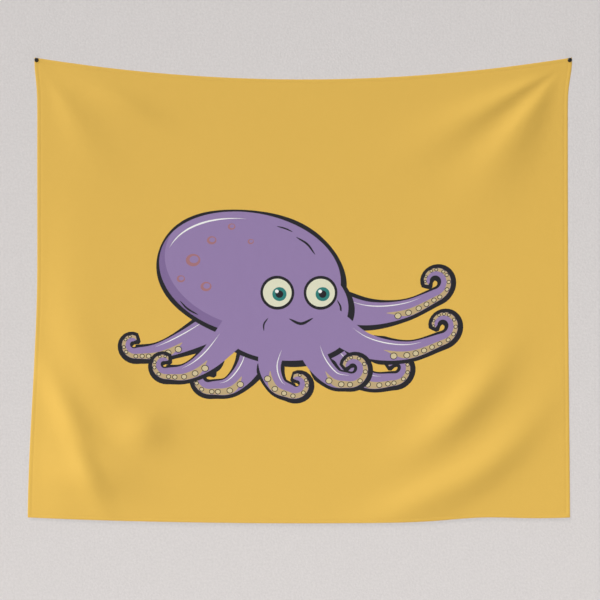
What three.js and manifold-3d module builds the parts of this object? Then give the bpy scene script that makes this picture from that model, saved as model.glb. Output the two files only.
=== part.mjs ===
// A printed cloth wall hanging, held to a wall by a push pin through each top corner.
// Millimetres, +Z up. The wall is the plane y = 0, and the cloth hangs in front of it, towards -Y.
// The origin is on the wall, halfway between the two pins and level with their needles.

import * as THREE from 'three';
import { mergeVertices } from 'three/addons/utils/BufferGeometryUtils.js';
import Module from 'manifold-3d';

const wasm = await Module();
wasm.setup();

// The cloth as it is cut and hemmed, flat.
const clothWidth = 1524;
const clothHeight = 1295;
const clothThickness = 0.4;
const hemWidth = 13;
const hemThickness = 0.8;
const threadWidth = 1.2;
const threadThickness = 0.4;
const threadInset = 2; // from the hem's inner fold

// The care label behind the left side hem, below the fold line.
const labelWidth = 30;
const labelHeight = 42;
const labelThickness = 0.3;
const labelBelowFold = 60;
const labelGap = 1; // from the label to the cloth's back

// A push pin: a turned plastic spool on a steel needle.
const collarDiameter = 12.5;
const collarThickness = 2;
const waistDiameter = 6.2;
const gripDiameter = 9.6;
const gripLength = 5.5;
const headLength = 15;
const headEdge = 0.5;
const needleDiameter = 1.1;
const needlePoint = 3.2;
const needleInWall = 11;
const needleInHead = 9;

// Room between pieces.
const layerGap = 0.3; // between two layers of the cloth
const bodyGap = 0.5; // round a pinned corner
const foldGap = 0.6; // between what is above the fold line and what is below it
const needleGap = 0.35; // round the needle in the cloth
const seatGap = 0.3; // round the needle in its head, and under the collar
const edgeMargin = 0.25; // from the collar's rim to the cloth's edge

// How the cloth hangs.
const topSag = 61; // the top edge's middle below its two pins
const bottomSag = 16;
const bottomStand = 26; // the bottom edge's distance from the wall, over the top edge's
const restStand = 2;
const holdReach = 70; // how far round a pin the cloth is drawn to the wall
const waistReach = 60;
const flareFrom = 0.45; // the share of the height below which the sides spread
const sides = {
  left: { way: -1, waist: 8, flare: 24 },
  right: { way: 1, waist: 12, flare: 3 },
};
const edgeLift = { height: 9, middle: 510, spread: 130 }; // in the bottom edge

// Creases that run out from each pin, as a fan. Angles are from the top edge, downwards.
const fans = {
  left: [{ angle: 56, height: 4.2, reach: 190, low: 13, high: 13 }],
  right: [
    { angle: 52, height: 8.8, reach: 235, low: 10.5, high: 15 },
    { angle: 25, height: 7, reach: 260, low: 8.5, high: 8.5 },
  ],
};

// Long round folds that hang about one point, in the two lower corners.
const swagCentreDown = 486;
const swags = {
  left: [
    { radius: 700, height: 5, width: 58, middle: 37, spread: 15 },
    { radius: 825, height: 4, width: 36, middle: 37, spread: 15 },
  ],
  right: [
    { radius: 672, height: 12.5, width: 54, middle: 47, spread: 15 },
    { radius: 846, height: 9.5, width: 50, middle: 52, spread: 14 },
    { radius: 812, height: 7, width: 45, middle: 66, spread: 10 },
  ],
};

// Single creases: where the middle of each is on the flat cloth, and the way it runs, in degrees below level.
const creases = [
  { u: -762, v: 900, runs: 90, length: 450, width: 75, height: -10 },
  { u: -618, v: 1105, runs: 68, length: 150, width: 36, height: 7 },
  { u: -580, v: 1174, runs: 12, length: 110, width: 48, height: 9 },
  { u: -444, v: 1033, runs: -40, length: 70, width: 60, height: 8 },
  { u: -515, v: 90, runs: 20, length: 110, width: 34, height: 6 },
];

// Steps of the solids.
const columnSteps = 30;
const rowSteps = 20;
const turnSteps = 24;
const curveSteps = 4;

// What follows from the sizes above.
const pinInset = collarDiameter / 2 + edgeMargin;
const cornerSize = Math.max(hemWidth, 2 * pinInset);
const hemDepth = threadThickness + layerGap;
const panelDepth = hemDepth + hemThickness + layerGap;
const cornerThickness = panelDepth + clothThickness;
const halfWidth = clothWidth / 2;
const flatSpan = clothWidth - 2 * pinInset;
const pinSpan = flatSpan - (8 * topSag ** 2) / (3 * flatSpan);
const foldHeight = pinInset - clothHeight / 2;
const stitchLines = [hemWidth - threadInset - threadWidth, hemWidth - threadInset];
const hemLines = [0, ...stitchLines, hemWidth];
const innerTop = cornerSize + bodyGap;
const innerEdge = halfWidth - innerTop;

const bump = (value, middle, spread) => Math.exp(-(((value - middle) / spread) ** 2));
const steps = (from, to, count) =>
  Array.from({ length: count + 1 }, (_, i) => from + ((to - from) * i) / count);
const degrees = (down, inwards) => THREE.MathUtils.radToDeg(Math.atan2(down, inwards));

const total = (folds, heightOf) => folds.reduce((sum, fold) => sum + heightOf(fold), 0);

// The creases of the fan that runs out from the nearer pin.
function fanHeight(name, u, v) {
  const inwards = flatSpan / 2 - sides[name].way * u;
  const down = v - pinInset;
  const angle = degrees(down, inwards);
  return total(fans[name], (f) => {
    const reach = Math.hypot(inwards, down) / f.reach;
    const ridge = f.height * bump(angle, f.angle, angle < f.angle ? f.low : f.high);
    return ridge * reach ** 2 * Math.exp(1 - reach ** 2);
  });
}

// The round folds in the lower corner on that side.
function swagHeight(name, u, v) {
  const along = sides[name].way * u;
  const down = v - swagCentreDown;
  const radius = Math.hypot(along, down);
  const angle = degrees(down, along);
  return total(swags[name], (f) => {
    const round = f.height * bump(radius, f.radius, f.width);
    return round * bump(angle, f.middle, f.spread);
  });
}

function creaseHeight(u, v) {
  return total(creases, (f) => {
    const turn = THREE.MathUtils.degToRad(f.runs);
    const along = (u - f.u) * Math.cos(turn) + (v - f.v) * Math.sin(turn);
    const aside = (v - f.v) * Math.cos(turn) - (u - f.u) * Math.sin(turn);
    return f.height * bump(along, 0, f.length) * bump(aside, 0, f.width);
  });
}

// The cloth's distance from the wall. A pin holds its corner flat against it.
function standOff(u, v) {
  const name = u < 0 ? 'left' : 'right';
  const side = sides[name];
  const belly = restStand + bottomStand * (v / clothHeight) ** 2;
  const folds = fanHeight(name, u, v) + swagHeight(name, u, v) + creaseHeight(u, v);
  const free = Math.hypot(Math.max(0, innerEdge - side.way * u), Math.max(0, v - innerTop));
  return Math.max(0, belly + folds) * (1 - Math.exp(-((free / holdReach) ** 2)));
}

// Where a point of the flat cloth hangs. u runs from its middle towards +X, v down from its top edge.
function hang(u, v, depth) {
  const side = u < 0 ? sides.left : sides.right;
  const down = v / clothHeight;
  const below = Math.max(0, v - innerTop);
  const drawn = side.waist * (1 - Math.exp(-((below / waistReach) ** 2)));
  const spread = side.flare * THREE.MathUtils.smoothstep(down, flareFrom, 1);
  const x = (u * pinSpan) / flatSpan + ((spread - drawn) * u) / halfWidth;
  const top = pinInset - topSag * (1 - ((2 * u) / flatSpan) ** 2);
  const lift = edgeLift.height * bump(u, edgeLift.middle, edgeLift.spread);
  const bottom = pinInset - clothHeight - bottomSag * (1 - (u / halfWidth) ** 2) + lift;
  return new THREE.Vector3(x, -standOff(u, v) - depth, top + (bottom - top) * down);
}

// A closed layer of the hung cloth over a grid of flat lines. depth is its back's, from the cloth's back.
function clothLayer(columns, rows, depth, thickness, isCut = () => false) {
  const points = [];
  for (const back of [depth + thickness, depth])
    for (const v of rows) for (const u of columns) points.push(...hang(u, v, back).toArray());
  const wide = columns.length;
  const front = [];
  for (let row = 0; row + 1 < rows.length; row++)
    for (let column = 0; column + 1 < wide; column++) {
      const middle = [columns, rows].map((lines, axis) => {
        const line = axis ? row : column;
        return (lines[line] + lines[line + 1]) / 2;
      });
      if (isCut(...middle)) continue;
      const corner = row * wide + column;
      front.push([corner, corner + wide, corner + wide + 1]);
      front.push([corner, corner + wide + 1, corner + 1]);
    }
  const behind = wide * rows.length;
  const faces = front.flatMap(([a, b, c]) => [a, b, c, c + behind, b + behind, a + behind]);
  const rim = new Map();
  for (const [a, b, c] of front)
    for (const [from, to] of [[a, b], [b, c], [c, a]])
      if (!rim.delete(to + ' ' + from)) rim.set(from + ' ' + to, [from, to]);
  for (const [from, to] of rim.values())
    faces.push(to, from, from + behind, to, from + behind, to + behind);
  const geometry = new THREE.BufferGeometry();
  geometry.setAttribute('position', new THREE.Float32BufferAttribute(points, 3));
  geometry.setIndex(faces);
  return geometry;
}

function toSolid(geometry) {
  const bare = geometry.index ? geometry.toNonIndexed() : geometry.clone();
  bare.deleteAttribute('normal');
  bare.deleteAttribute('uv');
  const merged = mergeVertices(bare, 1e-3);
  return new wasm.Manifold(
    new wasm.Mesh({
      numProp: 3,
      vertProperties: merged.attributes.position.array,
      triVerts: new Uint32Array(merged.index.array),
    }),
  );
}

// What is left of a layer above or below the fold line, which runs straight across the hung cloth.
function foldPart(geometry, way) {
  const room = 2 * clothHeight;
  const half = new THREE.BoxGeometry(2 * clothWidth, room, room);
  half.translate(0, 0, foldHeight + (way * (room + foldGap)) / 2);
  return toGeometry(toSolid(geometry).intersect(toSolid(half)));
}

function toGeometry(solid) {
  const mesh = solid.getMesh();
  const geometry = new THREE.BufferGeometry();
  geometry.setAttribute('position', new THREE.BufferAttribute(mesh.vertProperties, 3));
  geometry.setIndex(new THREE.BufferAttribute(mesh.triVerts, 1));
  return geometry;
}

// The corner where two hems fold over each other, flat against the wall, with the hole the needle makes.
function cornerGeometry(way) {
  const columns = way < 0 ? [-halfWidth, cornerSize - halfWidth] : [halfWidth - cornerSize, halfWidth];
  const corner = clothLayer(columns, [0, cornerSize], 0, cornerThickness);
  const radius = needleDiameter / 2 + needleGap;
  const hole = new THREE.CylinderGeometry(radius, radius, 4 * cornerThickness, turnSteps);
  hole.translate((way * pinSpan) / 2, 0, 0);
  return toGeometry(toSolid(corner).subtract(toSolid(hole)));
}

// A pin's head is turned about its own axis, which runs out from the wall, from the collar to the grip.
function headGeometry() {
  const seat = cornerThickness + seatGap;
  const bore = needleDiameter / 2 + seatGap;
  const collar = collarDiameter / 2;
  const waist = waistDiameter / 2;
  const grip = gripDiameter / 2;
  const end = seat + headLength;
  const neck = seat + collarThickness;
  const shoulder = end - gripLength;
  const middle = (neck + shoulder) / 2;
  const outline = new THREE.Path();
  outline.moveTo(0, seat + needleInHead);
  outline.lineTo(bore, seat + needleInHead);
  outline.lineTo(bore, seat);
  outline.lineTo(collar - headEdge, seat);
  outline.quadraticCurveTo(collar, seat, collar, seat + headEdge);
  outline.lineTo(collar, neck - headEdge);
  outline.quadraticCurveTo(collar, neck, collar - headEdge, neck);
  outline.quadraticCurveTo(waist, neck, waist, middle);
  outline.quadraticCurveTo(waist, shoulder, grip - headEdge, shoulder);
  outline.quadraticCurveTo(grip, shoulder, grip, shoulder + headEdge);
  outline.lineTo(grip, end - headEdge);
  outline.quadraticCurveTo(grip, end, grip - headEdge, end);
  outline.lineTo(0, end);
  return new THREE.LatheGeometry(outline.getPoints(curveSteps), turnSteps).rotateX(Math.PI);
}

// The needle runs from its point in the wall, through the cloth, into the head.
function needleGeometry() {
  const radius = needleDiameter / 2;
  const end = cornerThickness + needleInHead;
  const outline = [
    new THREE.Vector2(0, -needleInWall),
    new THREE.Vector2(radius, needlePoint - needleInWall),
    new THREE.Vector2(radius, end),
    new THREE.Vector2(0, end),
  ];
  return new THREE.LatheGeometry(outline, turnSteps / 2).rotateX(Math.PI);
}

const finish = (color, roughness, metalness) =>
  new THREE.MeshStandardMaterial({ color, roughness, metalness });
const clothFinish = () => finish(0xd9aa4b, 0.85, 0);
const threadFinish = () => finish(0xd2a040, 0.7, 0);
const labelFinish = () => finish(0xf2f0ea, 0.7, 0);
const headFinish = () => finish(0x161616, 0.3, 0);
const needleFinish = () => finish(0xb8b8bc, 0.25, 1);

function piece(name, geometry, material) {
  const mesh = new THREE.Mesh(geometry, material);
  mesh.name = name;
  return mesh;
}

// A side's hem and the thread that holds it, down the whole side.
function sideHem(side) {
  const inFrom = (lines) => lines.map((line) => side.way * (halfWidth - line)).sort(ascending);
  return {
    hem: clothLayer(inFrom(hemLines), sideRows, hemDepth, hemThickness),
    thread: clothLayer(inFrom(stitchLines), sideRows, 0, threadThickness),
  };
}

// The hem along the top or the bottom edge, as far as end on each side of the middle.
function crossHem(name, edge, way, end) {
  const inFrom = (lines) => lines.map((line) => edge + way * line).sort(ascending);
  const columns = within(allColumns, -end, end);
  const hem = clothLayer(columns, inFrom(hemLines), hemDepth, hemThickness);
  const thread = clothLayer(columns, inFrom(stitchLines), 0, threadThickness);
  return [piece(name + '_hem', hem, clothFinish()), piece(name + '_thread', thread, threadFinish())];
}

// Every layer of the cloth takes its lines from the same few, so that the layers stay parallel.
const ascending = (a, b) => a - b;
const within = (lines, from, to) => [from, ...lines.filter((line) => line > from && line < to), to];
const innerColumns = steps(-innerEdge, innerEdge, columnSteps);
const rightEdge = hemLines.map((line) => halfWidth - line).reverse();
const allColumns = [...rightEdge.map((line) => -line).reverse(), ...innerColumns, ...rightEdge];
const sideRows = [
  ...steps(innerTop, clothHeight - innerTop, rowSteps),
  ...hemLines.map((line) => clothHeight - line).reverse(),
];
const allRows = [...hemLines, ...sideRows];

const corners = new THREE.Group();
for (const [name, { way }] of Object.entries(sides))
  corners.add(piece(name + '_hem_corner', cornerGeometry(way), clothFinish()));

// The cloth leaves room for a pinned corner at each end of its top row.
const isPinned = (u, v) => Math.abs(u) > innerEdge && v < innerTop;
const cloth = clothLayer(allColumns, allRows, panelDepth, clothThickness, isPinned);
const halves = { upper: { way: 1, group: new THREE.Group() }, lower: { way: -1, group: new THREE.Group() } };
for (const [half, { way, group }] of Object.entries(halves)) {
  group.add(piece(half + '_panel', foldPart(cloth, way), clothFinish()));
  for (const name of Object.keys(sides)) {
    const { hem, thread } = sideHem(sides[name]);
    group.add(piece(name + '_' + half + '_hem', foldPart(hem, way), clothFinish()));
    group.add(piece(name + '_' + half + '_thread', foldPart(thread, way), threadFinish()));
  }
}
halves.upper.group.add(...crossHem('top', 0, 1, innerEdge));
halves.lower.group.add(...crossHem('bottom', clothHeight, -1, halfWidth - hemWidth - bodyGap));

const labelSide = hemWidth + layerGap - halfWidth;
const labelTop = clothHeight / 2 + labelBelowFold;
const label = clothLayer(
  within(allColumns, labelSide, labelSide + labelWidth),
  within(allRows, labelTop, labelTop + labelHeight),
  panelDepth - labelGap - labelThickness,
  labelThickness,
);
halves.lower.group.add(piece('care_label', label, labelFinish()));

const wallHanging = new THREE.Group();
wallHanging.add(corners, halves.upper.group, halves.lower.group);
for (const [name, { way }] of Object.entries(sides)) {
  const pin = new THREE.Group();
  pin.position.x = (way * pinSpan) / 2;
  pin.add(piece(name + '_pin_head', headGeometry(), headFinish()));
  pin.add(piece(name + '_pin_needle', needleGeometry(), needleFinish()));
  wallHanging.add(pin);
}

export default wallHanging;
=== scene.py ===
import math

import bpy
import numpy as np
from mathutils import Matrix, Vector, geometry, kdtree


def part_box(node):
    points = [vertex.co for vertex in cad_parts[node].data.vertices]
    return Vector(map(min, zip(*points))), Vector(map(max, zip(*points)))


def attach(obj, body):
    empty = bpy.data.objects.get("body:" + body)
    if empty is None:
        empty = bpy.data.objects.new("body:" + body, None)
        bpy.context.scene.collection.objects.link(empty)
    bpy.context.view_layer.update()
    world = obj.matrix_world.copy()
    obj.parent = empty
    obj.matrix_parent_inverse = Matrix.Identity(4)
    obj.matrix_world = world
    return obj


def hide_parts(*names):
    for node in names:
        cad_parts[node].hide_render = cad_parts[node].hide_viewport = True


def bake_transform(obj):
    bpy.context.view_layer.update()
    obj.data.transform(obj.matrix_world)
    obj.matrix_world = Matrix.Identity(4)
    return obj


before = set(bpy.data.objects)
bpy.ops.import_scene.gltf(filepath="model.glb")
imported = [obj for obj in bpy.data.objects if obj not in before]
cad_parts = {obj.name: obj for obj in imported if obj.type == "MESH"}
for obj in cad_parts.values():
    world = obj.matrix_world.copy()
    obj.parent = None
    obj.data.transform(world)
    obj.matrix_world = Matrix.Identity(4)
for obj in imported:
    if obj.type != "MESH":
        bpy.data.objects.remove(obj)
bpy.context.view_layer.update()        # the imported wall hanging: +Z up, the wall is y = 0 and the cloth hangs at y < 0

scene = bpy.context.scene
scene.view_settings.view_transform = "Standard"


# camera, wall, floor and lights
studio = {
    "eye": (-0.009, -6.0, -0.677),
    "seen": 1.694,             # width of wall that the camera takes in
    "wallSize": (9.0, 5.4),
    "wallBehind": 0.0004,
    "wallTint": (214, 210, 209),
    "floorHeight": -1.95,
    "floorDepth": 9.0,
    "floorTint": (200, 197, 194),
    "sideSun": {"comesFrom": (-0.81, -0.37, 0.42), "strength": 3.82, "softness": 26},
    "rearSun": {"comesFrom": (-0.35, 0.75, 0.5), "strength": 2.2, "softness": 40},     # for the cloth's back
    "frontSun": {"comesFrom": (-0.25, -1.0, 0.40), "strength": 0.40, "softness": 14},
    "lowPanel": {"place": (-0.65, -2.5, -1.75), "power": 2, "size": 1.2},
    "sky": 0.25,
}


def shaderColour(red, green, blue):        # screen values from 0 to 255, as the shader's linear ones
    return tuple(((c / 255 + 0.055) / 1.055) ** 2.4 for c in (red, green, blue)) + (1.0,)


def newMaterial(name, roughness, **sockets):
    material = bpy.data.materials.new(name)
    material.use_nodes = True
    shader = material.node_tree.nodes["Principled BSDF"]
    shader.inputs["Roughness"].default_value = roughness
    for socket, value in sockets.items():
        shader.inputs[socket.replace("_", " ")].default_value = value
    return material, shader


def addNode(material, kind, inputs=None, **settings):
    node = material.node_tree.nodes.new("ShaderNode" + kind)
    for name, value in settings.items():
        setattr(node, name, value)
    for name, value in (inputs or {}).items():
        if isinstance(value, bpy.types.NodeSocket):
            material.node_tree.links.new(value, node.inputs[name])
        else:
            node.inputs[name].default_value = value
    return node


def linkTo(material, source, target):
    material.node_tree.links.new(source, target)


def mottle(material, shader, place, tint, scale, spread):        # a colour that wanders a little either way
    tint = shaderColour(*tint)
    grain = addNode(material, "TexNoise", {"Vector": place, "Scale": scale, "Detail": 3.0})
    ramp = addNode(material, "ValToRGB", {"Fac": grain.outputs["Fac"]})
    for stop, share in zip(ramp.color_ramp.elements, (1 - spread, 1 + spread)):
        stop.color = tuple(min(1.0, c * share) for c in tint[:3]) + (1.0,)
    ramp.color_ramp.elements[0].position = 0.35
    ramp.color_ramp.elements[1].position = 0.65
    linkTo(material, ramp.outputs["Color"], shader.inputs["Base Color"])


def roughen(material, shader, height, strength, distance, **under):
    relief = {"Height": height, "Strength": strength, "Distance": distance, **under}
    linkTo(material, addNode(material, "Bump", relief).outputs["Normal"], shader.inputs["Normal"])


def wallMaterial():
    material, shader = newMaterial("paintedPlaster", 0.95, Specular_IOR_Level=0.2)
    place = addNode(material, "TexCoord").outputs["Object"]
    mottle(material, shader, place, studio["wallTint"], scale=150.0, spread=0.035)
    pits = addNode(material, "TexNoise", {"Vector": place, "Scale": 190.0, "Detail": 5.0})
    swell = addNode(material, "TexNoise", {"Vector": place, "Scale": 14.0, "Detail": 2.0})
    both = addNode(material, "Math", {0: pits.outputs["Fac"], 1: swell.outputs["Fac"]}, operation="ADD")
    roughen(material, shader, both.outputs[0], strength=0.5, distance=0.0012)
    # from behind the wall isn't there, so that the cloth's back can be seen
    clear = addNode(material, "BsdfTransparent")
    side = addNode(material, "NewGeometry").outputs["Backfacing"]
    mixed = addNode(material, "MixShader", {0: side, 1: shader.outputs[0], 2: clear.outputs[0]})
    linkTo(material, mixed.outputs[0], material.node_tree.nodes["Material Output"].inputs["Surface"])
    return material


def floorMaterial():
    material, shader = newMaterial("paleFloor", 0.8, Specular_IOR_Level=0.25)
    place = addNode(material, "TexCoord").outputs["Object"]
    mottle(material, shader, place, studio["floorTint"], scale=5.0, spread=0.02)
    return material


def addPlane(name, size, location, rotation, material):
    bpy.ops.object.select_all(action="DESELECT")
    bpy.ops.mesh.primitive_plane_add(size=1, location=location, rotation=rotation)
    plane = bpy.context.object
    plane.name = name
    plane.scale = (size[0], size[1], 1)
    bpy.ops.object.transform_apply(location=True, rotation=True, scale=True)
    plane.data.materials.append(material)
    return plane


def buildStudio():
    bpy.ops.object.camera_add(location=studio["eye"], rotation=(math.radians(90), 0, 0))
    camera = bpy.context.object
    camera.data.lens = camera.data.sensor_width * -studio["eye"][1] / studio["seen"]
    scene.camera = camera

    wide, tall = studio["wallSize"]
    foot = studio["floorHeight"]
    wall = addPlane("wallBackdrop", (wide, tall), (0, studio["wallBehind"], foot + tall / 2),
                    (math.radians(90), 0, 0), wallMaterial())
    wall.visible_shadow = wall.visible_diffuse = False
    floor = addPlane("floor", (wide, studio["floorDepth"]), (0, 0, foot), (0, 0, 0), floorMaterial())

    # nothing but the floor stands in the big soft lamps' way: the front sun alone casts the faint shadows
    blockers = bpy.data.collections.new("lampBlockers")
    blockers.objects.link(floor)
    for name in ("sideSun", "rearSun", "frontSun"):
        towards = Vector(studio[name]["comesFrom"])
        bpy.ops.object.light_add(type="SUN", rotation=towards.to_track_quat("Z", "Y").to_euler())
        sun = bpy.context.object
        sun.name = name
        sun.data.energy = studio[name]["strength"]
        sun.data.angle = math.radians(studio[name]["softness"])
        if name != "frontSun":
            sun.light_linking.blocker_collection = blockers
    low = studio["lowPanel"]
    aim = Vector((studio["eye"][0], 0, studio["eye"][2])) - Vector(low["place"])
    turned = (-aim).to_track_quat("Z", "Y").to_euler()
    bpy.ops.object.light_add(type="AREA", location=low["place"], rotation=turned)
    panel = bpy.context.object
    panel.data.energy, panel.data.size = low["power"], low["size"]
    panel.visible_camera = False
    panel.light_linking.blocker_collection = blockers
    sky = bpy.data.worlds.new("softSky")
    sky.use_nodes = True
    sky.node_tree.nodes["Background"].inputs["Color"].default_value = shaderColour(250, 249, 248)
    sky.node_tree.nodes["Background"].inputs["Strength"].default_value = studio["sky"]
    scene.world = sky
    print("studio: camera, wall, floor, lamps and sky")


buildStudio()


# how the cloth hangs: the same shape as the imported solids'
cloth = {
    "width": 1.524,
    "height": 1.295,
    "thickness": 0.0004,
    "depth": 0.0020,           # of its middle, in front of the hung surface
}
sag = {
    "top": 0.061,
    "bottom": 0.016,
    "rest": 0.002,             # the hung surface's distance from the wall at the top
    "stand": 0.026,            # and how much more at the bottom
    "hold": 0.070,             # how far round it a pin holds the cloth to the wall
    "waist": 0.060,            # how soon the sides draw in below the pins
    "flareFrom": 0.45,         # share of the height where they begin to spread
}
pinInset = 0.0065
cornerRoom = 0.0135            # the flat corner that a pin holds against the wall
sides = {
    "left": {"way": -1, "waist": 0.008, "flare": 0.024},
    "right": {"way": 1, "waist": 0.012, "flare": 0.003},
}
# creases that run out from a pin: angle below level, height, reach, and width on each side (degrees)
fans = {
    "left": [(56, 0.0042, 0.190, 13, 13)],
    "right": [(52, 0.0088, 0.235, 10.5, 15), (25, 0.0070, 0.260, 8.5, 8.5)],
}
# long round folds about one point: radius, height, width, and the angle's middle and spread
swagCentreDown = 0.486
swags = {
    "left": [(0.700, 0.005, 0.058, 37, 15), (0.825, 0.004, 0.036, 37, 15)],
    "right": [(0.672, 0.0125, 0.054, 47, 15), (0.846, 0.0095, 0.050, 52, 14),
              (0.812, 0.0070, 0.045, 66, 10)],
}
# single creases: the middle's two places on the flat cloth, the way it runs (degrees below level),
# half its length and width, and its height
creases = [
    (-0.762, 0.900, 90, 0.450, 0.075, -0.010),
    (-0.618, 1.105, 68, 0.150, 0.036, 0.007),
    (-0.580, 1.174, 12, 0.110, 0.048, 0.009),
    (-0.444, 1.033, -40, 0.070, 0.060, 0.008),
    (-0.515, 0.090, 20, 0.110, 0.034, 0.006),
]
edgeLift = {"height": 0.009, "middle": 0.510, "spread": 0.130}     # in the bottom edge
halfWidth = cloth["width"] / 2
flatSpan = cloth["width"] - 2 * pinInset


def findPin(name):
    low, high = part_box(name + "_pin_needle")
    return (low + high) / 2


pins = {name: findPin(name) for name in sides}
pinSpan = pins["right"].x - pins["left"].x


def bump(value, middle, spread):
    return np.exp(-(((value - middle) / spread) ** 2))


def smooth(value, low, high):
    share = np.clip((value - low) / (high - low), 0, 1)
    return share * share * (3 - 2 * share)


def fanHeight(name, u, v):                 # creases that run out from the nearer pin
    inwards, down = flatSpan / 2 - sides[name]["way"] * u, v - pinInset
    radius, angle = np.hypot(inwards, down), np.degrees(np.arctan2(down, inwards))
    total = 0
    for ridge, height, far, low, high in fans[name]:
        reach = radius / far
        shape = bump(angle, ridge, np.where(angle < ridge, low, high))
        total = total + height * shape * reach**2 * np.exp(1 - reach**2)
    return total


def swagHeight(name, u, v):                # long round folds in a lower corner
    along, down = sides[name]["way"] * u, v - swagCentreDown
    radius, angle = np.hypot(along, down), np.degrees(np.arctan2(down, along))
    return sum(height * bump(radius, far, width) * bump(angle, middle, spread)
               for far, height, width, middle, spread in swags[name])


def creaseHeight(u, v):
    total = 0
    for middle, down, runs, long, wide, height in creases:
        turn = math.radians(runs)
        along = (u - middle) * math.cos(turn) + (v - down) * math.sin(turn)
        aside = (v - down) * math.cos(turn) - (u - middle) * math.sin(turn)
        total = total + height * bump(along, 0, long) * bump(aside, 0, wide)
    return total


def standOff(u, v):                        # the hung surface's distance from the wall
    belly = sag["rest"] + sag["stand"] * (v / cloth["height"]) ** 2 + creaseHeight(u, v)
    total = 0
    for name, side in sides.items():
        mine = (u >= 0) if side["way"] > 0 else (u < 0)
        folds = fanHeight(name, u, v) + swagHeight(name, u, v)
        inwards = np.maximum(0, halfWidth - cornerRoom - side["way"] * u)
        free = np.hypot(inwards, np.maximum(0, v - cornerRoom))
        held = 1 - np.exp(-((free / sag["hold"]) ** 2))
        total = total + np.where(mine, np.maximum(0, belly + folds) * held, 0)
    return total


# from the flat cloth to the hung place: u from the middle, v down from the top, depth in front of the surface
def hang(u, v, depth):
    u, v = np.asarray(u, float), np.asarray(v, float)
    share = v / cloth["height"]
    below = np.maximum(0, v - cornerRoom)
    drawn = 1 - np.exp(-((below / sag["waist"]) ** 2))
    spread = smooth(share, sag["flareFrom"], 1)
    pull = np.where(u < 0, sides["left"]["flare"] * spread - sides["left"]["waist"] * drawn,
                    sides["right"]["flare"] * spread - sides["right"]["waist"] * drawn)
    x = u * pinSpan / flatSpan + pull * u / halfWidth
    top = pinInset - sag["top"] * (1 - (2 * u / flatSpan) ** 2)
    lift = edgeLift["height"] * bump(u, edgeLift["middle"], edgeLift["spread"])
    bottom = pinInset - cloth["height"] - sag["bottom"] * (1 - (u / halfWidth) ** 2) + lift
    return np.stack([x, -standOff(u, v) - depth, top + (bottom - top) * share], -1)


# the octopus print, drawn on the flat cloth in metres: u from the middle, v down from the top edge
inks = {
    "ground": (222, 180, 81),
    "line": (27, 26, 32),
    "skin": (145, 123, 168),
    "shade": (126, 103, 150),
    "under": (188, 165, 122),
    "cream": (219, 219, 193),
    "sucker": (205, 190, 150),
    "teal": (38, 122, 116),
    "mark": (162, 112, 118),
    "light": (236, 236, 234),
}
inkNames = list(inks)
octopus = {
    "mantle": {"middle": (-0.152, 0.614), "wide": 0.262, "tall": 0.178, "lean": 9},
    "face": {"middle": (-0.028, 0.712), "wide": 0.158, "tall": 0.128, "lean": 0},
    "skirt": {"middle": (-0.050, 0.786), "wide": 0.175, "tall": 0.080, "lean": 2},
    "shift": (0.0, -0.044),
    "line": 0.0125,
    "lineSwell": 0.35,
    "lineSlip": (0.002, 0.003),          # the line is a little heavier below and to the right
    "step": 0.006,
    "lit": (0.016, -0.020),              # how far the mantle's lighter side is moved
    "shine": {"from": 190, "to": 262, "inset": 0.020, "width": 0.005},
    "smile": ([(-0.040, 0.744), (-0.006, 0.758), (0.028, 0.742)], 0.0085),
    "eyes": [(-0.074, 0.668), (0.050, 0.668)],
    "eye": 0.041,
    "eyeLine": (0.0075, 0.0085),
    "look": (0.006, 0.004),
    # shares of the eye's radius
    "iris": 0.50,
    "pupil": 0.27,
    "glint": 0.13,
    "glintSlip": (0.18, 0.20),
    # shares of a spot's radius, and its lean
    "spotTall": 0.86,
    "spotCore": (0.62, 0.5),
    "spotSlip": (0.12, 0.10),
    "spotLean": -12,
    "spots": [(-0.315, 0.580, 0.021), (-0.262, 0.520, 0.014), (-0.350, 0.636, 0.012),
              (-0.205, 0.478, 0.011), (-0.278, 0.655, 0.016), (-0.150, 0.520, 0.009)],
    # short strokes that round the body: points and width
    "ticks": [([(-0.352, 0.700), (-0.330, 0.722), (-0.300, 0.738)], 0.0055),
              ([(-0.020, 0.505), (0.012, 0.526), (0.034, 0.556)], 0.0060),
              ([(-0.075, 0.474), (-0.052, 0.480), (-0.030, 0.490)], 0.0045),
              ([(0.098, 0.690), (0.108, 0.712), (0.106, 0.738)], 0.0050),
              ([(-0.100, 0.742), (-0.112, 0.760), (-0.112, 0.780)], 0.0045)],
}
# every arm; the places along it are shares of its length, and those across it shares of half its width
armStyle = {
    "pathStep": 0.004,
    "taper": 1.15,
    "bluntest": 0.02,          # of the round tip
    "linePart": (0.85, 0.25),  # the line's usual share of its full width, and how much that swings
    "lineWaves": 9,
    "lineFrom": 0.26,          # on the arms in front, where the line begins
    "lineGrows": 0.10,
    "lineLeast": 0.02,
    "tipAhead": 0.8,
    "tipLine": 0.35,
    "underFrom": 0.36,
    "underGrows": (0.34, 0.52),
    "underAcross": (0.10, 0.96),
    "shineAlong": (0.12, 0.60),
    "shineAcross": 0.66,
    "shineWidth": 0.0030,
}
suckers = {
    "from": 0.42,
    "size": 0.30,
    "least": 0.0022,
    "across": 0.54,
    "rim": 0.0021,
    "squash": 0.92,
    "apart": 2.9,
    "gap": 0.005,
}
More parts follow.
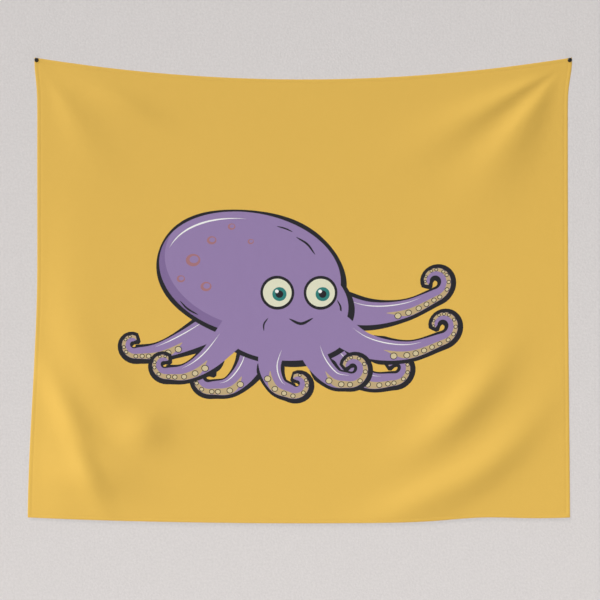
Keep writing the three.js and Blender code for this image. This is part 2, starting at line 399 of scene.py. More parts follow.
# each arm: the points it runs through, its width at the root and the tip, and the curl that ends it
# (first and last radius, degrees turned, and which way)
armsBehind = [
    {"path": [(-0.230, 0.755), (-0.330, 0.812), (-0.412, 0.848), (-0.476, 0.858)],
     "root": 0.088, "tip": 0.017, "curl": (0.027, 0.014, 230, 1)},
    {"path": [(0.070, 0.700), (0.180, 0.730), (0.290, 0.722), (0.388, 0.685)],
     "root": 0.090, "tip": 0.016, "curl": (0.040, 0.017, 290, -1)},
    {"path": [(-0.125, 0.800), (-0.155, 0.885), (-0.205, 0.940), (-0.262, 0.950)],
     "root": 0.088, "tip": 0.017, "curl": (0.034, 0.016, 250, 1)},
    {"path": [(0.040, 0.800), (0.110, 0.880), (0.190, 0.925), (0.262, 0.925)],
     "root": 0.088, "tip": 0.017, "curl": (0.036, 0.016, 270, -1)},
]
armsBefore = [
    {"path": [(-0.190, 0.775), (-0.265, 0.862), (-0.330, 0.905), (-0.388, 0.912)],
     "root": 0.092, "tip": 0.016, "curl": (0.028, 0.014, 240, 1)},
    {"path": [(0.075, 0.755), (0.175, 0.822), (0.295, 0.842), (0.404, 0.815)],
     "root": 0.094, "tip": 0.016, "curl": (0.040, 0.016, 285, -1)},
    {"path": [(-0.075, 0.790), (-0.095, 0.875), (-0.075, 0.935), (-0.035, 0.957)],
     "root": 0.088, "tip": 0.018, "curl": (0.030, 0.015, 250, -1)},
    {"path": [(0.010, 0.790), (0.040, 0.865), (0.085, 0.915), (0.130, 0.925)],
     "root": 0.088, "tip": 0.018, "curl": (0.038, 0.017, 285, -1)},
]
shapes = []                                # what is painted, in order: ink, outline, and what clips it


def paint(ink, outline, clip=None):
    shift = np.array(octopus["shift"])
    shapes.append((ink, np.asarray(outline, float) + shift, None if clip is None else clip + shift))


def oval(middle, wide, tall=None, lean=0.0, grow=0.0):
    tall = wide if tall is None else tall
    count = max(14, int(2 * math.pi * max(wide, tall) / octopus["step"]))
    turn = np.linspace(0, 2 * math.pi, count, endpoint=False)
    grow = grow * (1 + octopus["lineSwell"] * np.sin(3 * turn + 1) * np.cos(2 * turn))
    x, y = (wide + grow) * np.cos(turn), (tall + grow) * np.sin(turn)
    c, s = math.cos(math.radians(lean)), math.sin(math.radians(lean))
    return np.stack([middle[0] + x * c - y * s, middle[1] + x * s + y * c], -1)


def softPath(points, step):                # a smooth line through the points, in even steps
    fineness = 24
    p = np.array([points[0], *points, points[-1]], float)
    p[0] += p[1] - p[2]
    p[-1] += p[-2] - p[-3]
    t = np.linspace(0, 1, fineness, endpoint=False)[:, None]
    line = [0.5 * (2 * b + (c - a) * t + (2 * a - 5 * b + 4 * c - d) * t**2 + (3 * b - a - 3 * c + d) * t**3)
            for a, b, c, d in zip(p, p[1:], p[2:], p[3:])]
    line = np.vstack([*line, p[-2]])
    return evenSteps(line, step)


def runAlong(line):                        # each point's distance along the line
    return np.concatenate([[0], np.cumsum(np.hypot(*np.diff(line, axis=0).T))])


def evenSteps(line, step):
    run = runAlong(line)
    at = np.linspace(0, run[-1], max(3, int(round(run[-1] / step)) + 1))
    return np.stack([np.interp(at, run, line[:, 0]), np.interp(at, run, line[:, 1])], -1)


def addCurl(line, wide, narrow, turn, way):          # carries the line on in a closing spiral
    heading = math.atan2(*(line[-1] - line[-2])[::-1])
    point, points = line[-1], []
    degreesApart = 5
    count = int(turn / degreesApart)
    bend = math.radians(turn / count)
    for k in range(count):
        radius = wide + (narrow - wide) * k / count
        heading += way * bend
        point = point + radius * bend * np.array([math.cos(heading), math.sin(heading)])
        points.append(point)
    return np.vstack([line, points])


def across(line):                          # unit normals, to the right of the way it runs on the flat cloth
    along = np.gradient(line, axis=0)
    along /= np.hypot(*along.T)[:, None]
    return np.stack([-along[:, 1], along[:, 0]], -1)


def ribbon(line, low, high):               # the strip between two distances to the side of a line
    normal = across(line)
    return np.vstack([line + normal * np.broadcast_to(low, len(line))[:, None],
                      (line + normal * np.broadcast_to(high, len(line))[:, None])[::-1]])


def brush(points, width):                  # a stroke that swells and thins out, as a brush's does
    line = softPath(points, octopus["step"])
    t = np.linspace(0, 1, len(line))
    half = width / 2 * np.sqrt(np.sin(math.pi * np.clip(t, 0.01, 0.99)))
    return ribbon(line, -half, half)


def armShapes(arm, lineFrom):
    wide, narrow, turn, way = arm["curl"]
    line = addCurl(softPath(arm["path"], armStyle["pathStep"]), wide, narrow, turn, way)
    line = evenSteps(line, octopus["step"])
    run = runAlong(line)
    t = run / run[-1]
    half = (arm["tip"] + (arm["root"] - arm["tip"]) * (1 - t) ** armStyle["taper"]) / 2
    tip = half[-1]
    left = np.clip(run[-1] - run, 0, tip)
    half = half * np.sqrt(np.clip(1 - (1 - left / tip) ** 2, armStyle["bluntest"], 1))
    inkLine(line, half, t, lineFrom, wide)
    paint("skin", ribbon(line, -half, half))
    bare = half * smooth(t, *armStyle["underGrows"])
    start = int(np.argmax(t > armStyle["underFrom"]))
    low, high = sorted(-way * share for share in armStyle["underAcross"])
    paint("under", ribbon(line[start:], low * bare[start:], high * bare[start:]))
    addSuckers(line, half, run, tip, way)
    first, last = armStyle["shineAlong"]
    lit = (t > first) & (t < last)
    edge = way * half[lit] * armStyle["shineAcross"]
    thick = armStyle["shineWidth"] * np.sin(math.pi * (t[lit] - first) / (last - first))
    paint("light", ribbon(line[lit], edge - thick / 2, edge + thick / 2))


def inkLine(line, half, t, lineFrom, sway):          # the dark line round an arm, which goes on past its tip
    inked = smooth(t, lineFrom, lineFrom + armStyle["lineGrows"]) if lineFrom else np.ones(len(t))
    usual, swing = armStyle["linePart"]
    pen = octopus["line"] * inked * (usual + swing * np.sin(armStyle["lineWaves"] * t + 2 * sway))
    last = line[-1] - line[-2]
    ahead = line[-1] + last / np.hypot(*last) * octopus["line"] * armStyle["tipAhead"]
    outer = np.vstack([line, ahead]) + np.array(octopus["lineSlip"]) * np.append(inked, 1)[:, None]
    outerHalf = np.append(half + pen, armStyle["tipLine"] * octopus["line"])
    start = int(np.argmax(inked > armStyle["lineLeast"]))
    paint("line", ribbon(outer[start:], -outerHalf[start:], outerHalf[start:]))


def addSuckers(line, half, run, tip, way):
    normal = across(line)
    at = run[np.argmax(run / run[-1] > suckers["from"])]
    while at < run[-1] - tip:
        k = int(np.searchsorted(run, at))
        size = suckers["size"] * half[k]
        if size > suckers["least"]:
            middle = line[k] - way * normal[k] * suckers["across"] * half[k]
            tall = size * suckers["squash"]
            paint("line", oval(middle, size + suckers["rim"], tall + suckers["rim"]))
            paint("sucker", oval(middle, size, tall))
        at += suckers["apart"] * size + suckers["gap"]


def mantleShine(mantle, shine):            # a long highlight that follows the mantle's upper left side
    turn = np.linspace(math.radians(shine["from"]), math.radians(shine["to"]), 30)
    lean = math.radians(mantle["lean"])
    wide, tall = mantle["wide"] - shine["inset"], mantle["tall"] - shine["inset"]
    arc = np.stack([wide * np.cos(turn), tall * np.sin(turn)], -1)
    arc = arc @ np.array([[math.cos(lean), math.sin(lean)], [-math.sin(lean), math.cos(lean)]])
    arc = arc + np.array(mantle["middle"])
    thick = shine["width"] * np.sin(np.linspace(0, math.pi, len(arc)))
    paint("light", ribbon(arc, -thick / 2, thick / 2))


def drawEye(middle):
    eye = octopus["eye"]
    look = (middle[0] + octopus["look"][0], middle[1] + octopus["look"][1])
    aside, up = octopus["glintSlip"]
    lineWide, lineTall = octopus["eyeLine"]
    paint("line", oval(middle, eye + lineWide, eye + lineTall))
    paint("cream", oval(middle, eye))
    paint("teal", oval(look, eye * octopus["iris"]))
    paint("line", oval(look, eye * octopus["pupil"]))
    paint("light", oval((look[0] - eye * aside, look[1] - eye * up), eye * octopus["glint"]))


def drawSpot(u, v, size):
    lean, (aside, up), (wide, tall) = octopus["spotLean"], octopus["spotSlip"], octopus["spotCore"]
    paint("mark", oval((u, v), size, size * octopus["spotTall"], lean))
    paint("skin", oval((u + size * aside, v - size * up), size * wide, size * tall, lean))


def drawOctopus():
    slip = np.array(octopus["lineSlip"])
    for arm in armsBehind:
        armShapes(arm, 0.0)
    mantle, face, skirt = octopus["mantle"], octopus["face"], octopus["skirt"]
    for part in (mantle, face, skirt):
        paint("line", oval(**part, grow=octopus["line"]) + slip)
    paint("shade", oval(**mantle))
    (middleU, middleV), (aside, down) = mantle["middle"], octopus["lit"]
    lit = dict(mantle, middle=(middleU + aside, middleV + down))
    paint("skin", oval(**lit), oval(**mantle))
    for part in (face, skirt):
        paint("skin", oval(**part))
    mantleShine(mantle, octopus["shine"])
    for points, width in octopus["ticks"]:
        paint("line", brush(points, width))
    for u, v, size in octopus["spots"]:
        drawSpot(u, v, size)
    for middle in octopus["eyes"]:
        drawEye(middle)
    paint("line", brush(*octopus["smile"]))
    for arm in armsBefore:
        armShapes(arm, armStyle["lineFrom"])


drawOctopus()
print("print:", len(shapes), "painted shapes")


# the flat cloth: one triangulation of the whole rectangle, with the print's outlines in it
sheetCut = {
    "grid": 0.0125,
    "cornerGrid": 0.006,
    "cornerGridFrom": 0.0225,
    "corner": 0.086,           # legs of the triangle that stays with a pin
    "cutPlaces": 11,           # along its third side
    "needleRoom": 0.0009,
    "needleSides": 10,
    "clear": 0.0024,           # room that the grid leaves round the print's outlines
    "rollRadius": 0.000525,    # of the hem's fold, at the middle of the cloth's thickness
    "stitchInset": 0.011,
    "pinch": 0.00025,          # how far the stitches draw the layers together
    "pinchSpread": 0.0013,
}
edgeInset = sheetCut["rollRadius"] + cloth["thickness"] / 2
edgeReach = 1.01 * edgeInset   # a point that is no further in than this is on the edge
hemLines = [edgeInset, 0.005, 0.0095, 0.011, 0.0125, 0.0165]     # insets of the grid's lines over a hem
hemFold = {
    "back": 0.00095,           # depth of the hem's back layer
    "tucked": 0.00137,         # and of the raw edge, tucked in between it and the cloth
    "turn": 0.0126,            # inset where the back layer turns in
    "backInsets": (0.004, 0.0075, 0.0095, 0.011, 0.0123),
    "tuckedInsets": (0.0118, 0.011, 0.0095, 0.0070),
    "backPinch": 0.00002,
    "tuckedPinch": 0.00003,
}


def pinchAt(inset):
    return bump(inset, sheetCut["stitchInset"], sheetCut["pinchSpread"])


def gridLines(size):                       # closer together over the hems, and as far in as a pinned corner
    near = [*hemLines, *np.arange(sheetCut["cornerGridFrom"], sheetCut["corner"], sheetCut["cornerGrid"])]
    count = round((size - 2 * near[-1]) / sheetCut["grid"]) + 1
    inner = np.linspace(near[-1], size - near[-1], count)[1:-1]
    return np.array([*near, *inner, *(size - n for n in reversed(near))])


def cutLine(way):                          # from the top edge to a side edge, across a pinned corner
    corner = sheetCut["corner"]
    middle = np.linspace(hemLines[-1], corner - hemLines[-1], sheetCut["cutPlaces"])[1:-1]
    along = np.array([*hemLines, *middle, *(corner - n for n in reversed(hemLines))])
    return np.stack([way * (halfWidth - along), corner - along], -1)


def ring(way, radius):
    turn = np.linspace(0, 2 * math.pi, sheetCut["needleSides"], endpoint=False)
    return np.stack([way * flatSpan / 2 + radius * np.cos(turn), pinInset + radius * np.sin(turn)], -1)


def isInside(outline, places):             # by winding number, so that a line may cross itself
    found = np.zeros(len(places), bool)
    low, high = outline.min(0), outline.max(0)
    near = np.flatnonzero(((places > low) & (places < high)).all(1))
    if len(near):
        x, y = places[near, :1], places[near, 1:]
        a, b = outline, np.roll(outline, -1, 0)
        leftOf = (b[:, 0] - a[:, 0]) * (y - a[:, 1]) - (x - a[:, 0]) * (b[:, 1] - a[:, 1])
        up = (a[:, 1] <= y) & (b[:, 1] > y) & (leftOf > 0)
        down = (a[:, 1] > y) & (b[:, 1] <= y) & (leftOf < 0)
        found[near] = up.sum(1) != down.sum(1)
    return found


def cutCloth():
    columns, rows = gridLines(cloth["width"]) - halfWidth, gridLines(cloth["height"])
    grid = np.stack(np.meshgrid(columns, rows), -1).reshape(-1, 2)
    outlines = [outline for _, outline, _ in shapes]
    lines = [cutLine(way) for way in (-1, 1)]
    holes = [ring(way, sheetCut["needleRoom"]) for way in (-1, 1)]
    spare = [ring(way, 3 * sheetCut["needleRoom"]) for way in (-1, 1)]
    fixed = np.vstack([*outlines, *lines, *holes, *spare])
    tree = kdtree.KDTree(len(fixed))
    for k, (u, v) in enumerate(fixed):
        tree.insert((u, v, 0), k)
    tree.balance()
    halfHeight = cloth["height"] / 2
    onEdge = np.abs(grid[:, 0]) > halfWidth - edgeReach
    onEdge |= np.abs(grid[:, 1] - halfHeight) > halfHeight - edgeReach
    clear = np.array([tree.find((u, v, 0))[2] > sheetCut["clear"] for u, v in grid])
    points = [*grid[onEdge | clear]]
    edges = []
    for outline, closed in [(o, True) for o in outlines + holes] + [(line, False) for line in lines]:
        first, count = len(points), len(outline)
        points.extend(outline)
        edges.extend((first + k, first + (k + 1) % count) for k in range(count if closed else count - 1))
    for loose in spare:
        points.extend(loose)
    made = geometry.delaunay_2d_cdt([Vector((u, -v)) for u, v in points], edges, [], 0, 1e-6)
    places = np.array([tuple(p) for p in made[0]]) * (1, -1)
    triangles = np.array([tuple(f) for f in made[2]])
    middles = places[triangles].mean(1)
    ink = np.zeros(len(triangles), int)
    for name, outline, clip in shapes:
        painted = isInside(outline, middles)
        if clip is not None:
            painted &= isInside(clip, middles)
        ink[painted] = inkNames.index(name)
    fromCorner = halfWidth - np.abs(middles[:, 0]) + middles[:, 1]
    part = np.where(fromCorner < sheetCut["corner"], np.sign(middles[:, 0]), 0)
    kept = sum(isInside(h, middles) for h in holes) == 0
    return places, triangles[kept], ink[kept], part[kept]


# flatPart is 0 on the sheet, -1 on the left pinned corner and 1 on the right one
flatPlaces, flatTriangles, flatInk, flatPart = cutCloth()
print("flat cloth:", len(flatTriangles), "triangles")


def hemSection():                          # inset and depth along the hem, from the fold to the raw edge
    roll, back, tucked = sheetCut["rollRadius"], hemFold["back"], hemFold["tucked"]
    middle = (cloth["depth"] + back) / 2
    section = [(edgeInset - roll * math.sin(a), middle + roll * math.cos(a))
               for a in np.linspace(0, math.pi, 7)[1:]]
    section += [(inset, back - hemFold["backPinch"] * pinchAt(inset)) for inset in hemFold["backInsets"]]
    tight = (tucked - back) / 2
    section += [(hemFold["turn"] + tight * math.sin(a), back + tight - tight * math.cos(a))
                for a in np.linspace(0, math.pi, 5)]
    section += [(inset, tucked - hemFold["tuckedPinch"] * pinchAt(inset))
                for inset in hemFold["tuckedInsets"]]
    return section


def hemPlace(u, v, inset, part):           # where a point of the cloth's edge goes, this far in along the hem
    way = -1 if u < 0 else 1
    side, end = halfWidth - abs(u), min(v, cloth["height"] - v)
    atSide, atEnd = side < edgeReach, end < edgeReach
    cut = sheetCut["corner"]
    onCut = abs(side + v - cut) < 1e-5
    if part:
        side, end = ((inset, min(max(end, inset), cut - inset)) if atSide and not atEnd else
                     (min(max(side, inset), cut - inset), inset) if atEnd and not atSide else (inset, inset))
    elif onCut:
        side, end = (inset, cut - inset) if atSide else (cut - inset, inset)
    else:
        side, end = (inset if atSide else max(side, inset)), (inset if atEnd else max(end, inset))
    return way * (halfWidth - side), (end if v < cloth["height"] / 2 else cloth["height"] - end)


def isRolled(a, b):                        # both ends on the same outer edge
    edges = [(p[0] < edgeReach - halfWidth, p[0] > halfWidth - edgeReach,
              p[1] < edgeReach, p[1] > cloth["height"] - edgeReach) for p in (a, b)]
    return any(x and y for x, y in zip(*edges))


def startMesh(name, points, faces):
    mesh = bpy.data.meshes.new(name)
    mesh.from_pydata([tuple(p) for p in points], [], [tuple(f) for f in faces])
    made = bpy.data.objects.new(name, mesh)
    scene.collection.objects.link(made)
    pick(made)
    return made


def pick(chosen):
    bpy.ops.object.select_all(action="DESELECT")
    chosen.select_set(True)
    bpy.context.view_layer.objects.active = chosen


def applyModifier(target, kind, **settings):
    pick(target)
    added = target.modifiers.new(kind.lower(), kind)
    for name, value in settings.items():
        setattr(added, name, value)
    bpy.ops.object.modifier_apply(modifier=added.name)


def getPlaces(mesh):
    places = np.zeros(len(mesh.vertices) * 3)
    mesh.vertices.foreach_get("co", places)
    return places.reshape(-1, 3)


def hangPoints(flat):                      # from lying flat (x across, y through, z up) to hanging
    return hang(flat[:, 0], -flat[:, 2], -flat[:, 1])


def hangMesh(target, keepCrisp=40):        # its normals are turned with it
    pick(target)
    mesh = target.data
    bpy.ops.object.shade_smooth_by_angle(angle=math.radians(keepCrisp))
    flat = getPlaces(mesh)
    uvs = mesh.uv_layers.new(name="flatCloth")
    owner = np.zeros(len(mesh.loops), int)
    mesh.loops.foreach_get("vertex_index", owner)
    uvs.data.foreach_set("uv", np.stack([flat[owner, 0], flat[owner, 2]], -1).astype(np.float32).ravel())
    normals = np.zeros(len(mesh.loops) * 3, np.float32)
    mesh.corner_normals.foreach_get("vector", normals)
    normals = normals.reshape(-1, 3).astype(float)
    step = 0.0005
    alongX = (hangPoints(flat + (step, 0, 0)) - hangPoints(flat - (step, 0, 0)))[owner]
    through = np.tile((0.0, 2 * step, 0.0), (len(owner), 1))
    alongZ = (hangPoints(flat + (0, 0, step)) - hangPoints(flat - (0, 0, step)))[owner]
    turned = (normals[:, :1] * np.cross(through, alongZ) + normals[:, 1:2] * np.cross(alongZ, alongX)
              + normals[:, 2:] * np.cross(alongX, through))
    turned /= np.linalg.norm(turned, axis=1)[:, None]
    mesh.vertices.foreach_set("co", hangPoints(flat).astype(np.float32).ravel())
    mesh.update()
    mesh.normals_split_custom_set([tuple(n) for n in turned])


weave = {
    "thread": 0.00062,         # from one thread to the next
    "waveScale": 0.3142,       # a wave texture's scale for bands 1 apart
    "relief": 0.00006,
    "roughness": 0.72,
    "sheen": 0.06,
    "reverse": (238, 226, 196),
    "paleness": 0.5,           # how far the print's colours fade on the reverse
}


def clothMaterial(name, tint):
    material, shader = newMaterial(name, weave["roughness"], Specular_IOR_Level=0.3,
                                   Sheen_Weight=weave["sheen"], Sheen_Roughness=0.4)
    place = addNode(material, "UVMap", uv_map="flatCloth").outputs["UV"]
    mottle(material, shader, place, tint, scale=520.0, spread=0.035)
    wave = {"Vector": place, "Scale": weave["waveScale"] / weave["thread"], "Distortion": 1.2,
            "Detail": 1.0, "Detail Scale": 0.6}
    warp = addNode(material, "TexWave", wave, bands_direction="X").outputs["Fac"]
    weft = addNode(material, "TexWave", wave, bands_direction="Y").outputs["Fac"]
    crossed = addNode(material, "Math", {0: warp, 1: weft}, operation="MAXIMUM").outputs[0]
    threads = addNode(material, "Bump", {"Height": crossed, "Strength": 0.35, "Distance": weave["relief"]})
    rumple = addNode(material, "TexNoise", {"Vector": place, "Scale": 38.0, "Detail": 4.0})
    roughen(material, shader, rumple.outputs["Fac"], strength=0.12, distance=0.004,
            Normal=threads.outputs["Normal"])
    return material


def clothMaterials():
    front = [clothMaterial(name + "Ink", tint) for name, tint in inks.items()]
    fade = weave["paleness"]
    back = [clothMaterial(name + "Reverse", [c + (r - c) * fade for c, r in zip(tint, weave["reverse"])])
            for name, tint in inks.items()]
    return front + back


def cutPiece(name, part, materials):
    keep = flatPart == part
    used, faces = np.unique(flatTriangles[keep], return_inverse=True)
    faces = [tuple(f) for f in faces.reshape(-1, 3)]
    ink = list(flatInk[keep])
    edge = [tuple(flatPlaces[k]) for k in used]
    points = []
    for u, v in edge:
        inset = min(halfWidth - abs(u), v, cloth["height"] - v)
        points.append((u, -cloth["depth"] + sheetCut["pinch"] * pinchAt(inset), -v))
    ways = {(a, b) for f in faces for a, b in zip(f, f[1:] + f[:1])}
    rim = [(a, b) for a, b in ways if (b, a) not in ways and isRolled(edge[a], edge[b])]
    rings = {}
    section = hemSection()
    for k in sorted({k for pair in rim for k in pair}):
        rings[k] = [k]
        for inset, depth in section:
            u, v = hemPlace(*edge[k], inset, part)
            rings[k].append(len(points))
            points.append((u, -depth, -v))
    for a, b in sorted(rim):
        for k in range(len(section)):
            faces.append((rings[b][k], rings[a][k], rings[a][k + 1], rings[b][k + 1]))
            ink.append(0)
    made = startMesh(name, points, faces)
    for material in materials:
        made.data.materials.append(material)
    made.data.polygons.foreach_set("material_index", ink)
    bpy.ops.object.mode_set(mode="EDIT")
    bpy.ops.mesh.select_all(action="SELECT")
    bpy.ops.mesh.remove_doubles(threshold=1e-6)
    bpy.ops.object.mode_set(mode="OBJECT")
    applyModifier(made, "SOLIDIFY", thickness=cloth["thickness"], offset=0.0, use_even_offset=False,
                  material_offset=len(inks), material_offset_rim=0)
    hangMesh(made)
    made.visible_diffuse = False           # so that it doesn't tint the wall
    return made


clothFinish = clothMaterials()
printedCloth = cutPiece("printed_cloth", 0, clothFinish)
pinnedCorners = {name: cutPiece(name + "_pinned_corner", side["way"], clothFinish)
                 for name, side in sides.items()}
print("sheet:", len(printedCloth.data.polygons), "faces, and its corners",
      [len(c.data.polygons) for c in pinnedCorners.values()])


# sewing: one stitch is modelled and set all along the hems, on the front and on the back
sewing = {
    "pitch": 0.0034,
    "long": 0.0027,
    "wide": 0.00056,
    "thick": 0.00040,
    "front": 0.00200,          # depth of the stitches' middle, in front of the hung surface
    "back": 0.00070,
    "endRoom": 0.004,          # at the ends of the bottom hem
    "tint": (214, 168, 72),
}


def threadMaterial():
    material, shader = newMaterial("sewingThread", 0.55, Specular_IOR_Level=0.35, Sheen_Weight=0.2)
    place = addNode(material, "TexCoord").outputs["Object"]
    mottle(material, shader, place, sewing["tint"], scale=900.0, spread=0.08)
    ply = addNode(material, "TexWave", {"Vector": place, "Scale": 900.0, "Distortion": 2.0},
                  bands_direction="DIAGONAL")
    roughen(material, shader, ply.outputs["Fac"], strength=0.5, distance=0.00008)
    return material


def modelStitch():
    bpy.ops.object.select_all(action="DESELECT")
    bpy.ops.mesh.primitive_uv_sphere_add(segments=4, ring_count=4, radius=0.5,
                                         rotation=(0, math.radians(90), 0))
    stitch = bpy.context.object
    bpy.ops.object.transform_apply(location=False, rotation=True, scale=False)
    stitch.scale = (sewing["long"], sewing["wide"], sewing["thick"])
    bpy.ops.object.transform_apply(location=False, rotation=False, scale=True)
    places = getPlaces(stitch.data)
    faces = [tuple(f.vertices) for f in stitch.data.polygons]
    bpy.data.objects.remove(stitch)
    return places, faces


def sewRun(name, runs, material):          # runs: a line's two ends on the flat cloth
    one, oneFaces = modelStitch()
    points, faces = [], []
    for start, end in runs:
        start, end = np.array(start), np.array(end)
        reach = np.hypot(*(end - start))
        along = (end - start) / reach
        side = np.array([-along[1], along[0]])
        count = int(reach / sewing["pitch"])
        for k in range(count):
            middle = start + along * reach * (k + 0.5) / count
            for depth, slip, turn in ((sewing["front"], 0.0, 1), (sewing["back"], 0.5, -1)):
                spot = middle + along * slip * reach / count
                uv = spot + one[:, :1] * along + one[:, 1:2] * side
                first = len(points)
                points.extend(np.column_stack([uv[:, 0], -(depth + one[:, 2]), -uv[:, 1]]))
                faces.extend(tuple(first + i for i in f) for f in oneFaces)
    made = startMesh(name, points, faces)
    bpy.ops.object.mode_set(mode="EDIT")
    bpy.ops.mesh.select_all(action="SELECT")
    bpy.ops.mesh.normals_make_consistent(inside=False)
    bpy.ops.object.mode_set(mode="OBJECT")
    hangMesh(made, keepCrisp=80)
    made.data.materials.append(material)
    return made


threadFinish = threadMaterial()
line = sheetCut["stitchInset"]
toCut = sheetCut["corner"] - line
sideAt, foot = halfWidth - line, cloth["height"] - line
topEnd, bottomEnd = halfWidth - toCut, sideAt - sewing["endRoom"]
topStitches = sewRun("top_stitches", [((-topEnd, line), (topEnd, line))], threadFinish)
bottomStitches = sewRun("bottom_stitches", [((-bottomEnd, foot), (bottomEnd, foot))], threadFinish)
sideStitches, cornerStitches = {}, {}
for name, side in sides.items():
    u = side["way"] * sideAt
    sideStitches[name] = sewRun(name + "_stitches", [((u, toCut), (u, foot))], threadFinish)
    roundCorner = [((side["way"] * topEnd, line), (u, line)), ((u, line), (u, toCut))]
    cornerStitches[name] = sewRun(name + "_corner_stitches", roundCorner, threadFinish)


# care label: a blank satin tape, sewn behind the left hem
careTape = {
    "inset": (0.0118, 0.0433),
    "down": (0.7075, 0.7495),
    "depth": 0.00052,
    "thick": 0.00028,
    "curl": 0.00025,
    "curlWaves": 9,
    "tint": (243, 241, 235),
}


def tapeMaterial():
    material, shader = newMaterial("satinTape", 0.42, Specular_IOR_Level=0.5, Sheen_Weight=0.3)
    place = addNode(material, "UVMap", uv_map="flatCloth").outputs["UV"]
    mottle(material, shader, place, careTape["tint"], scale=800.0, spread=0.02)
    ribs = addNode(material, "TexWave", {"Vector": place, "Scale": 700.0}, bands_direction="Y")
    roughen(material, shader, ribs.outputs["Fac"], strength=0.4, distance=0.00006)
    return material


def buildCareTape():
    (near, far), (top, low) = careTape["inset"], careTape["down"]
    bpy.ops.object.select_all(action="DESELECT")
    middle = ((near + far) / 2 - halfWidth, -careTape["depth"], -(top + low) / 2)
    bpy.ops.mesh.primitive_grid_add(x_subdivisions=16, y_subdivisions=20, size=1, location=middle,
                                    rotation=(math.radians(90), 0, 0))
    tape = bpy.context.object
    tape.name = "care_tape"
    tape.scale = (far - near, low - top, 1)
    bpy.ops.object.transform_apply(location=True, rotation=True, scale=True)
    for vertex in tape.data.vertices:      # its free end lifts a little
        free = (vertex.co.x + halfWidth - near) / (far - near)
        vertex.co.y += careTape["curl"] * free**2 * math.sin(careTape["curlWaves"] * free)
    applyModifier(tape, "SOLIDIFY", thickness=careTape["thick"], offset=0.0)
    hangMesh(tape)
    tape.data.materials.append(tapeMaterial())
    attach(tape, "cloth_lower")
    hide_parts("care_label")
    return tape


careTag = buildCareTape()
print("care tape")


# push pins: each is modelled standing on the origin, then turned to point out from the wall
pushPin = {
    # height above the collar's underside and radius, up the moulded head
    "head": [(0.00035, 0.00145), (0.0, 0.0024), (0.0, 0.0056), (0.00018, 0.00607), (0.00065, 0.00625),
             (0.0013, 0.00625), (0.00178, 0.00607), (0.0020, 0.0055), (0.00245, 0.0041), (0.0034, 0.00335),
             (0.0052, 0.0031), (0.0070, 0.0033), (0.0086, 0.00405), (0.00945, 0.00455), (0.0100, 0.00478),
             (0.0118, 0.00480), (0.0138, 0.00478), (0.01455, 0.00462), (0.01492, 0.0042), (0.0150, 0.0032),
             (0.01485, 0.0016)],
    "headTint": (14, 14, 14),
    "needle": [(0.0, 0.00012), (0.0006, 0.00026), (0.0018, 0.00042), (0.0034, 0.00053), (0.0050, 0.00055),
               (0.0140, 0.00055), (0.0215, 0.00055)],
    "needleTint": (196, 196, 200),
}


def plasticMaterial():
    material, shader = newMaterial("blackPlastic", 0.35, Specular_IOR_Level=0.35,
                                   Coat_Weight=0.05, Coat_Roughness=0.2)
    place = addNode(material, "TexCoord").outputs["Object"]
    mottle(material, shader, place, pushPin["headTint"], scale=350.0, spread=0.2)
    scuffs = addNode(material, "TexNoise", {"Vector": place, "Scale": 900.0, "Detail": 5.0})
    gloss = addNode(material, "MapRange", {"Value": scuffs.outputs["Fac"], "To Min": 0.28, "To Max": 0.42})
    linkTo(material, gloss.outputs["Result"], shader.inputs["Roughness"])
    roughen(material, shader, scuffs.outputs["Fac"], strength=0.12, distance=0.00004)
    return material


def steelMaterial():
    material, shader = newMaterial("drawnSteel", 0.22, Metallic=1.0)
    place = addNode(material, "TexCoord").outputs["Object"]
    mottle(material, shader, place, pushPin["needleTint"], scale=600.0, spread=0.05)
    drawn = addNode(material, "TexWave", {"Vector": place, "Scale": 1500.0, "Distortion": 3.0},
                    bands_direction="Y")
    roughen(material, shader, drawn.outputs["Fac"], strength=0.2, distance=0.00003)
    return material


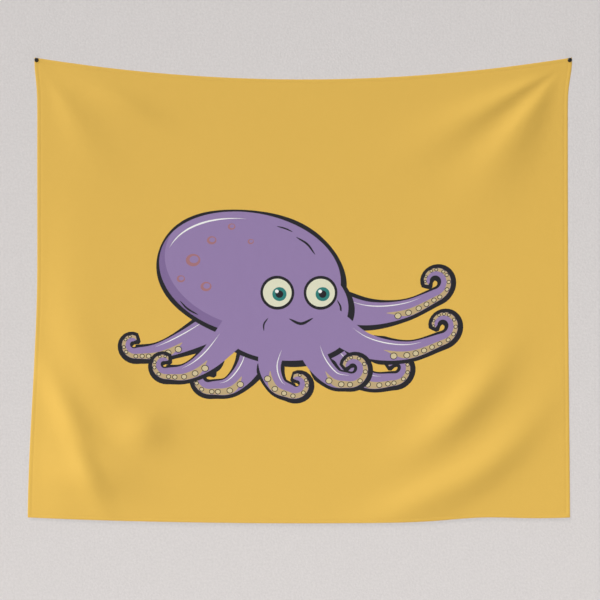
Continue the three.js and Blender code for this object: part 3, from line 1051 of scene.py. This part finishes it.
def drawUp(name, outline, count):          # a ring is extruded and resized again and again
    height, radius = outline[0]
    bpy.ops.object.select_all(action="DESELECT")
    bpy.ops.mesh.primitive_circle_add(vertices=count, radius=radius, fill_type="NGON", location=(0, 0, 0))
    made = bpy.context.object
    made.name = name
    bpy.ops.object.mode_set(mode="EDIT")
    bpy.ops.mesh.select_all(action="SELECT")
    bpy.ops.transform.translate(value=(0, 0, height))
    for nextHeight, nextRadius in outline[1:]:
        bpy.ops.mesh.extrude_region_move(TRANSFORM_OT_translate={"value": (0, 0, nextHeight - height)})
        share = nextRadius / radius
        bpy.ops.transform.resize(value=(share, share, 1), center_override=(0, 0, nextHeight))
        height, radius = nextHeight, nextRadius
    bpy.ops.mesh.inset(thickness=radius * 0.45)
    bpy.ops.mesh.select_all(action="SELECT")
    bpy.ops.mesh.normals_make_consistent(inside=False)
    bpy.ops.object.mode_set(mode="OBJECT")
    return made


def setPin(name):
    head = drawUp(name + "_push_pin", pushPin["head"], 32)
    needle = drawUp(name + "_needle", pushPin["needle"], 16)
    for part, node, slot, material in ((head, "_pin_head", "pin_plastic", plasticFinish),
                                       (needle, "_pin_needle", "needle_steel", steelFinish)):
        applyModifier(part, "SUBSURF", levels=1, render_levels=1)
        pick(part)
        part.rotation_euler = (math.radians(90), 0, 0)
        part.location = (pins[name].x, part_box(name + node)[1].y, pins[name].z)
        bpy.ops.object.transform_apply(location=True, rotation=True, scale=True)
        bpy.ops.object.shade_smooth_by_angle(angle=math.radians(35))
        part.data.materials.append(material)
        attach(part, name + "_pin")
        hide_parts(name + node)


plasticFinish, steelFinish = plasticMaterial(), steelMaterial()
for name in sides:
    setPin(name)
print("push pins")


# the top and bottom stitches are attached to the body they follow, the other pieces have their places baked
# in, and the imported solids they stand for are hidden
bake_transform(printedCloth)
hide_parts("upper_panel", "lower_panel", "top_hem", "bottom_hem")
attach(topStitches, "cloth_upper")
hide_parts("top_thread")
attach(bottomStitches, "cloth_lower")
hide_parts("bottom_thread")
for name, side in sides.items():
    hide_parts(name + "_upper_hem", name + "_lower_hem")
    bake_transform(sideStitches[name])
    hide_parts(name + "_upper_thread", name + "_lower_thread")
    for piece in (pinnedCorners[name], cornerStitches[name]):
        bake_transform(piece)
    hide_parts(name + "_hem_corner")
